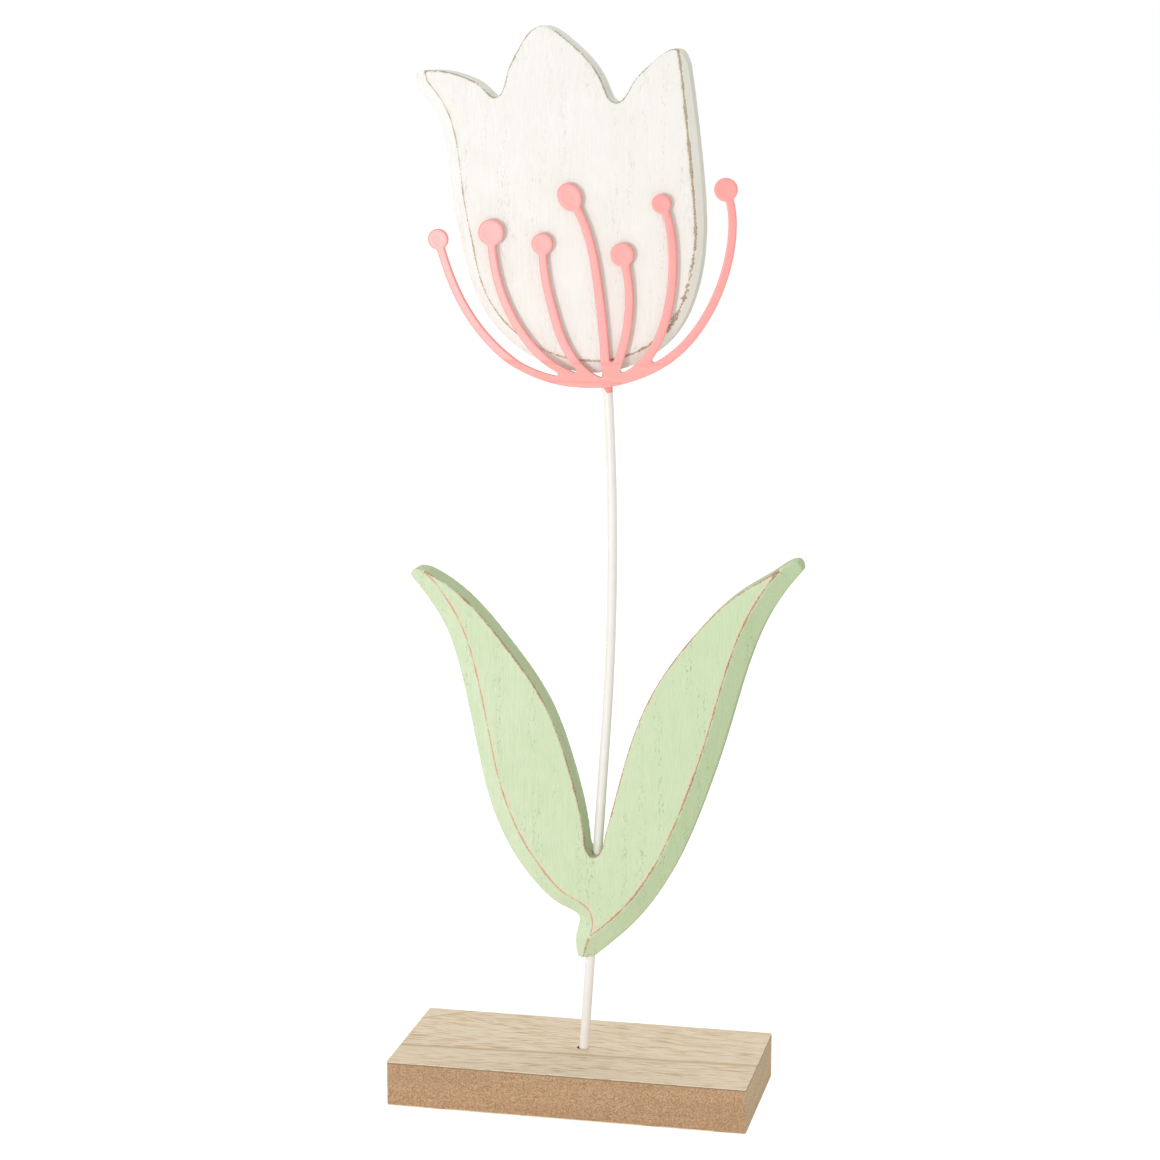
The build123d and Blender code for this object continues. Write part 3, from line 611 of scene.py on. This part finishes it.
def sheet_tree():
    """The stamens: discs pressed in a little inside their rims, and a round weld spot at the root."""
    tree, given = new_tree("Pressed sheet", [
        ("Bare", "Object"), ("Disc start", "Float"), ("Rim width", "Float"), ("Dish depth", "Float"),
        ("Spot", "Vector"), ("Spot radius", "Float"), ("Spot height", "Float"), ("Finish", "Material"),
    ])
    bare = add(tree, "GeometryNodeObjectInfo", {"Object": given["Bare"]}, out="Geometry")
    turn = add(tree, "GeometryNodeInputMeshEdgeAngle")
    sharp = add(tree, "ShaderNodeMath", {0: turn, 1: radians(90), 2: radians(35)}, operation="COMPARE")
    rim = add(tree, "GeometryNodeSeparateGeometry", {0: bare, 1: sharp}, domain="EDGE")
    gap = add(tree, "GeometryNodeProximity", {0: rim}, target_element="EDGES", out="Distance")
    where = add(tree, "GeometryNodeInputPosition")
    height = add(tree, "ShaderNodeSeparateXYZ", {0: where}, out=2)
    facing = add(tree, "ShaderNodeSeparateXYZ", {0: add(tree, "GeometryNodeInputNormal")}, out=1)
    front = add(tree, "ShaderNodeMath", {0: facing, 1: -0.5}, operation="LESS_THAN")
    high = add(tree, "ShaderNodeMath", {0: height, 1: given["Disc start"]}, operation="GREATER_THAN")
    far = add(tree, "ShaderNodeMath", {0: given["Rim width"], 1: 1.2 * MM}, operation="ADD")
    pressed = add(tree, "ShaderNodeMapRange", {0: gap, 1: given["Rim width"], 2: far}, interpolation_type="SMOOTHSTEP")
    for share in (high, given["Dish depth"]):
        pressed = add(tree, "ShaderNodeMath", {0: pressed, 1: share}, operation="MULTIPLY")
    reach = add(tree, "ShaderNodeVectorMath", {0: where, 1: given["Spot"]}, operation="DISTANCE", out="Value")
    spot = add(tree, "ShaderNodeMapRange", {0: reach, 1: given["Spot radius"], 2: 0.0},
               interpolation_type="SMOOTHSTEP")
    spot = add(tree, "ShaderNodeMath", {0: spot, 1: given["Spot height"]}, operation="MULTIPLY")
    push = add(tree, "ShaderNodeMath", {0: pressed, 1: spot}, operation="SUBTRACT")
    push = add(tree, "ShaderNodeMath", {0: push, 1: front}, operation="MULTIPLY")
    offset = add(tree, "ShaderNodeCombineXYZ", {1: push})
    geometry = crisper(tree, given["Geometry"], bare)
    geometry = add(tree, "GeometryNodeSetPosition", {0: geometry, "Offset": offset})
    close_tree(tree, geometry, given["Finish"])
    return tree


def wire_tree():
    """The stem: a circle carried along a leaning straight run and one long arc."""
    tree, given = new_tree("Bent wire", [
        ("Foot", "Float"), ("Top", "Float"), ("Pivot", "Vector"), ("Lean", "Float"), ("Bend start", "Float"),
        ("Bend radius", "Float"), ("Radius", "Float"), ("Wave", "Float"), ("Seed", "Float"), ("Finish", "Material"),
    ])
    start = add(tree, "ShaderNodeCombineXYZ", {2: given["Foot"]})
    end = add(tree, "ShaderNodeCombineXYZ", {2: given["Top"]})
    line = add(tree, "GeometryNodeCurvePrimitiveLine", {"Start": start, "End": end})
    line = add(tree, "GeometryNodeResampleCurve", {0: line, "Count": WIRE_RINGS})
    where = add(tree, "GeometryNodeInputPosition")
    height = add(tree, "ShaderNodeSeparateXYZ", {0: where}, out=2)
    pivot = add(tree, "ShaderNodeSeparateXYZ", {0: given["Pivot"]}, out=None)
    slope, level, rise = (
        add(tree, "ShaderNodeMath", {0: given["Lean"]}, operation=part) for part in ("TANGENT", "COSINE", "SINE"))
    past_pivot = add(tree, "ShaderNodeMath", {0: height, 1: pivot[2]}, operation="SUBTRACT")
    straight = add(tree, "ShaderNodeMath", {0: past_pivot, 1: slope, 2: pivot[0]}, operation="MULTIPLY_ADD")
    bend_rise = add(tree, "ShaderNodeMath", {0: given["Bend start"], 1: pivot[2]}, operation="SUBTRACT")
    bend_x = add(tree, "ShaderNodeMath", {0: bend_rise, 1: slope, 2: pivot[0]}, operation="MULTIPLY_ADD")
    back = add(tree, "ShaderNodeMath", {0: given["Bend radius"], 1: level}, operation="MULTIPLY")
    centre_x = add(tree, "ShaderNodeMath", {0: bend_x, 1: back}, operation="SUBTRACT")
    centre_z = add(tree, "ShaderNodeMath", {0: given["Bend radius"], 1: rise, 2: given["Bend start"]},
                   operation="MULTIPLY_ADD")
    above = add(tree, "ShaderNodeMath", {0: height, 1: centre_z}, operation="SUBTRACT")
    above = add(tree, "ShaderNodeMath", {0: above, 1: above}, operation="MULTIPLY")
    around = add(tree, "ShaderNodeMath", {0: given["Bend radius"], 1: given["Bend radius"]}, operation="MULTIPLY")
    around = add(tree, "ShaderNodeMath", {0: around, 1: above}, operation="SUBTRACT")
    around = add(tree, "ShaderNodeMath", {0: around}, operation="SQRT")
    curved = add(tree, "ShaderNodeMath", {0: centre_x, 1: around}, operation="ADD")
    bent = add(tree, "ShaderNodeMath", {0: height, 1: given["Bend start"]}, operation="GREATER_THAN")
    x = add(tree, "ShaderNodeMix", {0: bent, 2: straight, 3: curved}, data_type="FLOAT")
    offset = add(tree, "ShaderNodeCombineXYZ", {0: x})
    line = add(tree, "GeometryNodeSetPosition", {0: line, "Offset": offset})
    ring = add(tree, "GeometryNodeCurvePrimitiveCircle", {"Resolution": WIRE_SIDES, "Radius": given["Radius"]})
    tube = add(tree, "GeometryNodeCurveToMesh", {0: line, "Profile Curve": ring, "Fill Caps": True})
    tube = add(tree, "GeometryNodeSetShadeSmooth", {0: tube})
    sags = grain(tree, where, 3 * MM, given["Seed"], 1.0, (1, 1, 0.35))
    inward = add(tree, "ShaderNodeMath", {0: sags, 1: given["Wave"]}, operation="MULTIPLY")
    tube = moved_in(tree, tube, inward, add(tree, "GeometryNodeInputNormal"))
    close_tree(tree, tube, given["Finish"])
    return tree


def veneer_tree():
    """A sheet of veneer: a rounded rectangle whose edge is splintered along the grain, drilled or
    not, and raised to its thickness."""
    tree, given = new_tree("Veneer sheet", [
        ("Half size", "Vector"), ("Corner", "Float"), ("Bottom", "Float"), ("Thickness", "Float"),
        ("Drilled", "Bool"), ("Hole x", "Float"), ("Hole radius", "Float"), ("Splinter depth", "Float"),
        ("Seed", "Float"), ("Finish", "Material"),
    ])
    size = add(tree, "ShaderNodeVectorMath", {0: given["Half size"], "Scale": 2.0}, operation="SCALE")
    size = add(tree, "ShaderNodeSeparateXYZ", {0: size}, out=None)
    edge = add(tree, "GeometryNodeCurvePrimitiveQuadrilateral", {"Width": size[0], "Height": size[1]})
    edge = add(tree, "GeometryNodeFilletCurve", {0: edge, "Count": 5, "Radius": given["Corner"]}, mode="POLY")
    edge = add(tree, "GeometryNodeResampleCurve", {0: edge, "Length": 0.3 * MM}, mode="LENGTH")
    where = add(tree, "GeometryNodeInputPosition")
    # Splinters are about 4 mm long beside the grain and 1 mm wide across it
    chance = grain(tree, where, MM, given["Seed"], 2.0, (0.25, 1, 1), limits=(0.47, 0.78))
    inward = add(tree, "ShaderNodeMath", {0: chance, 1: given["Splinter depth"]}, operation="MULTIPLY")
    unit = add(tree, "ShaderNodeVectorMath", {0: where, 1: given["Half size"]}, operation="DIVIDE")
    edge = moved_in(tree, edge, inward, unit)
    ring = add(tree, "GeometryNodeCurvePrimitiveCircle", {"Resolution": SOCKET_SIDES, "Radius": given["Hole radius"]})
    hole_place = add(tree, "ShaderNodeCombineXYZ", {0: given["Hole x"]})
    ring = add(tree, "GeometryNodeSetPosition", {0: ring, "Offset": hole_place})
    both = add(tree, "GeometryNodeJoinGeometry", {0: [edge, ring]})
    outline = add(tree, "GeometryNodeSwitch", {"Switch": given["Drilled"], "False": edge, "True": both},
                  input_type="GEOMETRY")
    face = add(tree, "GeometryNodeFillCurve", {0: outline})
    lift = add(tree, "ShaderNodeCombineXYZ", {2: given["Bottom"]})
    face = add(tree, "GeometryNodeSetPosition", {0: face, "Offset": lift})
    raised = add(tree, "GeometryNodeExtrudeMesh", {0: face, "Offset": (0, 0, 1), "Offset Scale": given["Thickness"],
                 "Individual": False})
    under = add(tree, "GeometryNodeFlipFaces", {0: face})
    whole = add(tree, "GeometryNodeJoinGeometry", {0: [raised, under]})
    sheet = add(tree, "GeometryNodeMergeByDistance", {0: whole, "Distance": SAME_POINT})
    close_tree(tree, sheet, given["Finish"])
    return tree


# Pieces
class TULIP_OT_block(bpy.types.Operator):
    """Make the block: its fibreboard core and the veneer on both faces"""
    bl_idname = "tulip.block"
    bl_label = "Block"

    def execute(self, context):
        sizes = context.scene.tulip_sizes
        colours = context.scene.tulip_colours
        core = bare_copy("base_core", "fibreboard_core")
        rounded = core.modifiers.new("Sanded edges", "BEVEL")
        rounded.width = SANDED_EDGE
        rounded.segments = 2
        rounded.limit_method = "ANGLE"
        rounded.angle_limit = radians(40)
        settle(core)
        core.data.materials.append(sawn_fibreboard("Sawn MDF", colours.fibreboard, linear("#CBB392"), sizes.seed))
        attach(core, "base")
        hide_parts("base_core")
        veneer = oiled_veneer("Oiled hardwood veneer", colours.veneer, linear("#BF9A6B"), sizes.seed)
        tree = veneer_tree()
        for name, node, drilled in (
            ("top_veneer", "base_top_veneer", True), ("bottom_veneer", "base_bottom_veneer", False),
        ):
            low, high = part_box(node)
            sheet = shown(name, bpy.data.meshes.new(name))
            grow(sheet, tree, {
                "Half size": (high.x, high.y, 1.0), "Corner": BLOCK_CORNER, "Bottom": low.z,
                "Thickness": high.z - low.z, "Drilled": drilled, "Hole x": SOCKET_X,
                "Hole radius": SOCKET_RADIUS, "Splinter depth": sizes.splinter_depth,
                "Seed": float(sizes.seed + drilled), "Finish": veneer,
            })
            settle(sheet)
            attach(sheet, "base")
            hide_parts(node)
        return {"FINISHED"}


class TULIP_OT_wire(bpy.types.Operator):
    """Make the stem's lacquered wire and the weld bead on it"""
    bl_idname = "tulip.wire"
    bl_label = "Wire stem"

    def execute(self, context):
        sizes = context.scene.tulip_sizes
        colours = context.scene.tulip_colours
        lacquer = cream_lacquer("Cream lacquer on wire", colours.cream_lacquer, colours.pink_paint, sizes.seed)
        wire = shown("lacquered_wire", bpy.data.meshes.new("lacquered_wire"))
        grow(wire, wire_tree(), {
            "Foot": WIRE_FOOT_Z, "Top": WIRE_TOP_Z, "Pivot": (SOCKET_X, 0.0, SOCKET_MIDDLE_Z), "Lean": WIRE_LEAN,
            "Bend start": WIRE_BEND_Z, "Bend radius": WIRE_BEND_RADIUS, "Radius": WIRE_RADIUS,
            "Wave": sizes.lacquer_wave, "Seed": float(sizes.seed), "Finish": lacquer,
        })
        settle(wire)
        bead = bare_copy("weld_bead", "painted_bead")
        remeshed(bead, sizes.bead_grid, 5)
        settle(bead)
        bead.data.materials.append(lacquer)
        for piece, node, slot in ((wire, "stem_wire", "cream_lacquer"), (bead, "weld_bead", "pink_paint")):
            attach(piece, "stem")
            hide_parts(node)
        return {"FINISHED"}


class TULIP_OT_boards(bpy.types.Operator):
    """Make the two painted boards: the leaf pair and the flower"""
    bl_idname = "tulip.boards"
    bl_label = "Leaves and flower"

    def execute(self, context):
        sizes = context.scene.tulip_sizes
        colours = context.scene.tulip_colours
        tree = plate_tree()
        # Each board's tints are painted light and shade, for its bevels that face right, its sawn sides and its bevels
        # that face left
        finishes = {
            "leaf_pair": painted_board(
                "Green wall paint on pine", tuple(colours.green_paint), deep=linear("#CADCB2"), pore=linear("#9AAE7B"),
                halo=linear("#E6D6B6"), wood=tuple(colours.bare_wood), dark_wood=linear("#94806A"),
                tints=((0.85, 0.87, 0.8), (0.8, 0.81, 0.73), (1.04, 1.03, 1.06)), lines=(0.36, 0.38, 0.5, 0.13),
                chipped_below=0.0, seed=sizes.seed),
            "flower_head": painted_board(
                "White wall paint on pine", tuple(colours.white_paint), deep=linear("#F1EFE9"), pore=linear("#DBD5C8"),
                halo=linear("#F1EBE0"), wood=linear("#CDBBA3"), dark_wood=linear("#9C8976"),
                tints=((1.05, 1.06, 1.0), (0.77, 0.775, 0.75), (1.05, 1.05, 1.07)), lines=(0.32, 0.6, 0.5, 0.0),
                chipped_below=355 * MM, seed=sizes.seed + 30),
        }
        for node, name, slot, ridge in (
            ("leaf_pair", "painted_leaves", "green_paint", LEAF_RIDGE),
            ("flower_head", "painted_flower", "white_paint", NO_RIDGE),
        ):
            board = dressed(node, name, sizes.board_grid, tree, {
                "Front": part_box(node)[0].y, "Wear drop": WEAR_DROP, "Flank wear": FLANK_WEAR,
                "Square wear": SQUARE_WEAR, "Grain width": sizes.grain_width, "Grain depth": sizes.grain_depth,
                "Chip depth": sizes.chip_depth, "Seed": float(sizes.seed), "Ridge low": ridge[0],
                "Ridge high": ridge[1], "Finish": finishes[node],
            })
            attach(board, "stem")
            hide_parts(node)
        return {"FINISHED"}


class TULIP_OT_stamens(bpy.types.Operator):
    """Make the pink stamens"""
    bl_idname = "tulip.stamens"
    bl_label = "Stamens"

    def execute(self, context):
        sizes = context.scene.tulip_sizes
        colours = context.scene.tulip_colours
        # The last colour is the back's paler coat, also put on the down-facing root as a painted highlight
        pink = satin_enamel("Pink satin enamel", tuple(colours.pink_paint), linear("#FC9A95"), linear("#F6CFC6"),
                            sizes.seed)
        spray = dressed("stamen_spray", "painted_stamens", sizes.sheet_grid, sheet_tree(), {
            "Disc start": DISC_START_Z, "Rim width": DISC_RIM, "Dish depth": sizes.dish_depth,
            "Spot": WELD_SPOT, "Spot radius": WELD_RADIUS, "Spot height": WELD_HEIGHT, "Finish": pink,
        })
        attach(spray, "stem")
        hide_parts("stamen_spray")
        return {"FINISHED"}


class TULIP_OT_stage(bpy.types.Operator):
    """Make the floor, the soft lights, the white surroundings and the camera"""
    bl_idname = "tulip.stage"
    bl_label = "Stage"

    def execute(self, context):
        scene = context.scene
        corners = [(x * FLOOR_HALF, y * FLOOR_HALF, 0) for x, y in ((-1, -1), (1, -1), (1, 1), (-1, 1))]
        mesh = bpy.data.meshes.new("floor")
        mesh.from_pydata(corners, [], [(0, 1, 2, 3)])
        mesh.materials.append(studio_floor("White studio board", scene.tulip_colours.floor))
        shown("floor", mesh)

        for name, azimuth, elevation, distance, size, power in LAMPS:
            lamp = bpy.data.lights.new(name, "AREA")
            lamp.size = size
            lamp.energy = power
            obj = shown(name, lamp)
            turn, tilt = radians(azimuth), radians(elevation)
            back = Vector((sin(turn) * cos(tilt), -cos(turn) * cos(tilt), sin(tilt)))
            obj.location = LAMP_TARGET + back * distance
            obj.rotation_euler = back.to_track_quat("Z", "Y").to_euler()

        world = bpy.data.worlds.new("White surroundings")
        world.use_nodes = True
        scene.world = world
        tree = world.node_tree
        strength = add(tree, "ShaderNodeMapRange", {0: seen_directly(tree), 3: WORLD_LIGHT, 4: 1.0})
        feed(tree, tree.nodes["Background"], {"Color": (1, 1, 1, 1), "Strength": strength})

        lens = bpy.data.cameras.new("camera")
        lens.sensor_width = SENSOR_MM
        lens.lens = FOCAL_PIXELS / PHOTO_PIXELS * SENSOR_MM
        lens.clip_start = 0.01
        camera = shown("camera", lens)
        camera.location = CAMERA_PLACE
        camera.rotation_euler = (CAMERA_TARGET - camera.location).to_track_quat("-Z", "Y").to_euler()
        scene.camera = camera
        scene.view_settings.view_transform = "Standard"
        return {"FINISHED"}


class TULIP_PT_parts(bpy.types.Panel):
    """Lists the sizes, the colours and the pieces"""
    bl_idname = "TULIP_PT_parts"
    bl_label = "Wooden Tulip"
    bl_space_type = "VIEW_3D"
    bl_region_type = "UI"
    bl_category = "Tulip"

    def draw(self, context):
        for settings in (context.scene.tulip_sizes, context.scene.tulip_colours):
            box = self.layout.box()
            for name in settings.__annotations__:
                box.prop(settings, name)
        for piece in PIECES:
            self.layout.operator(piece.bl_idname)


PIECES = (TULIP_OT_block, TULIP_OT_wire, TULIP_OT_boards, TULIP_OT_stamens, TULIP_OT_stage)
CLASSES = (TulipSizes, TulipColours, *PIECES, TULIP_PT_parts)


def register():
    for cls in CLASSES:
        bpy.utils.register_class(cls)
    bpy.types.Scene.tulip_sizes = PointerProperty(type=TulipSizes)
    bpy.types.Scene.tulip_colours = PointerProperty(type=TulipColours)


def unregister():
    del bpy.types.Scene.tulip_colours
    del bpy.types.Scene.tulip_sizes
    for cls in reversed(CLASSES):
        bpy.utils.unregister_class(cls)


def main():
    register()
    for make in (bpy.ops.tulip.block, bpy.ops.tulip.wire, bpy.ops.tulip.boards, bpy.ops.tulip.stamens,
                 bpy.ops.tulip.stage):
        make()


if __name__ == "__main__":
    main()
